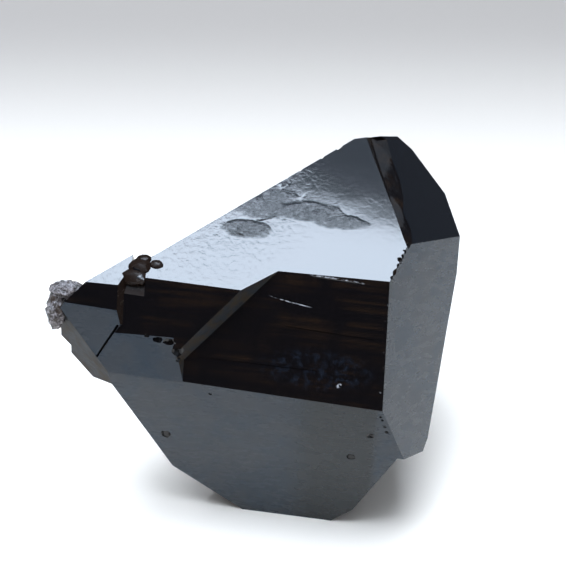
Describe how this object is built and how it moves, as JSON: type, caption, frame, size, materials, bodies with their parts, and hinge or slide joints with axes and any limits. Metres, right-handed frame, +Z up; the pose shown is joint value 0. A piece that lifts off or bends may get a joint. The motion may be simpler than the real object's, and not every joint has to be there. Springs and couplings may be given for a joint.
{
  "type": "rough morion quartz crystal",
  "caption": "Rough black quartz crystal, six-sided with sloping end faces, smaller crystals grown into one end, standing on a flat broken base as a display mineral.",
  "frame": {"origin": "middle of the bounding box at the height of the flat broken base", "axes": "+Z up as the crystal stands, -Y towards the dark front face, +X towards the blunt right-hand end"},
  "size_m": [0.0708, 0.0496, 0.0637],
  "materials": {
    "morion": "natural glassy crystal faces, near black, brown where thin, rough and grainy where broken"
  },
  "bodies": {
    "root": {"morion_crystal": "morion"}
  },
  "joints": []
}
